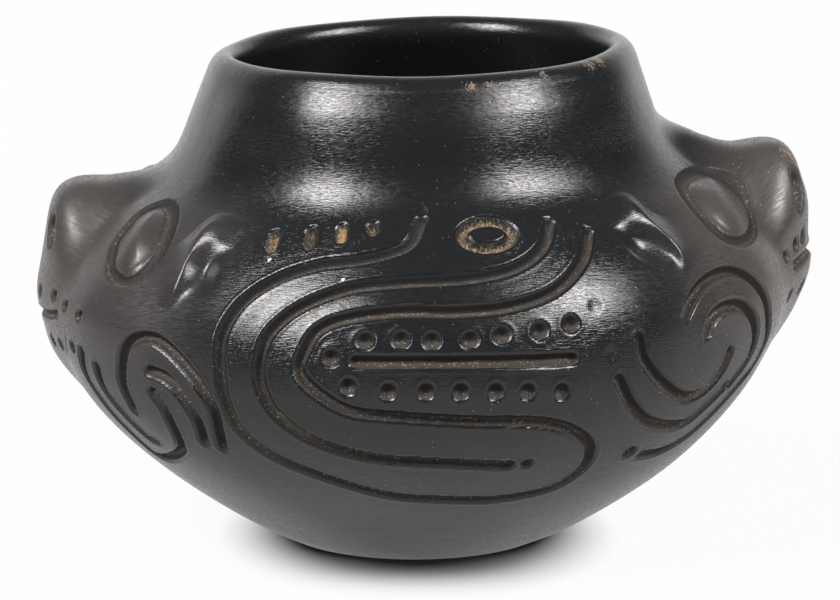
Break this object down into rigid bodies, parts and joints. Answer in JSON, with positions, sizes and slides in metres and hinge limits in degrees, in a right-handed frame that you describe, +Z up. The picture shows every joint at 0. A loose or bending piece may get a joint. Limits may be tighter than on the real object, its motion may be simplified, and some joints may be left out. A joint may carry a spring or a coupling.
{
  "type": "blackware bowl",
  "caption": "Round-bellied burnished blackware bowl with a short sloping neck and a modelled animal head on each side, for holding dry goods or display.",
  "frame": {"origin": "middle of the flat foot, on the surface that the bowl stands on", "axes": "+Z up through the mouth, +X towards the right-hand head, -Y towards the front panel"},
  "size_m": [0.2006, 0.184, 0.1283],
  "materials": {
    "burnished_wall": "smoke-blackened earthenware, stone-burnished to a satin gloss",
    "worn_rim": "the same clay, rubbed paler along the crest",
    "modelled_head": "the same clay, burnished by hand over the modelled forms"
  },
  "bodies": {
    "root": {"base_pat": "burnished_wall", "lower_wall": "burnished_wall", "shoulder_wall": "burnished_wall", "neck_collar": "burnished_wall", "rim_coil": "worn_rim", "left_muzzle": "modelled_head", "left_jaw": "modelled_head", "left_front_eye": "modelled_head", "left_front_ear": "modelled_head", "left_rear_eye": "modelled_head", "left_rear_ear": "modelled_head", "right_muzzle": "modelled_head", "right_jaw": "modelled_head", "right_front_eye": "modelled_head", "right_front_ear": "modelled_head", "right_rear_eye": "modelled_head", "right_rear_ear": "modelled_head"}
  },
  "joints": []
}
